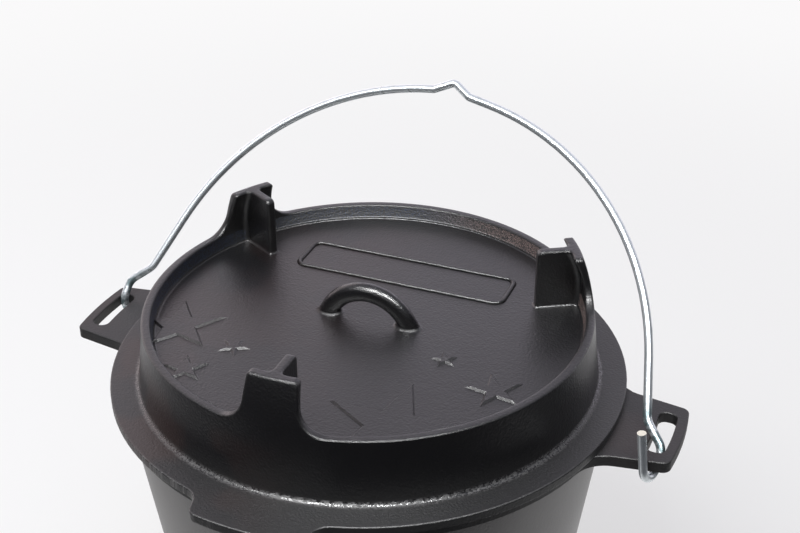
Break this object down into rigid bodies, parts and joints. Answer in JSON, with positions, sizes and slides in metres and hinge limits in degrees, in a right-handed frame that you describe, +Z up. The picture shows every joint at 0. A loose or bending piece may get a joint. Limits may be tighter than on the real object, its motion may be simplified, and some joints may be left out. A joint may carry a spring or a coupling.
{
  "type": "dutch oven",
  "caption": "Round footed cast iron dutch oven with slotted ears, a swinging wire bail and a coal-rim lid with T-shaped legs.",
  "frame": {"origin": "on the pot's axis, in the plane of its three feet", "axes": "+Z up along the pot's axis; the ears point along +X and -X; the lid's tab points along -Y"},
  "size_m": [0.3974, 0.3349, 0.3193],
  "materials": {
    "pot_iron": "satin seasoned black",
    "lid_iron": "satin seasoned black",
    "bail_wire": "zinc-plated wire, satin bright"
  },
  "bodies": {
    "pot": {"pot": "pot_iron"},
    "lid": {"lid": "lid_iron"},
    "bail": {"bail": "bail_wire"}
  },
  "joints": [
    {"name": "lid_lift", "type": "slide", "parent": "pot", "child": "lid", "axis": [0, 0, 1], "range_m": [0, 0.05]},
    {"name": "bail_swing", "type": "hinge", "parent": "pot", "child": "bail", "pos_m": [0, 0, 0.1685], "axis": [0.991, -0.1336, 0], "range_deg": [0, 79]}
  ]
}
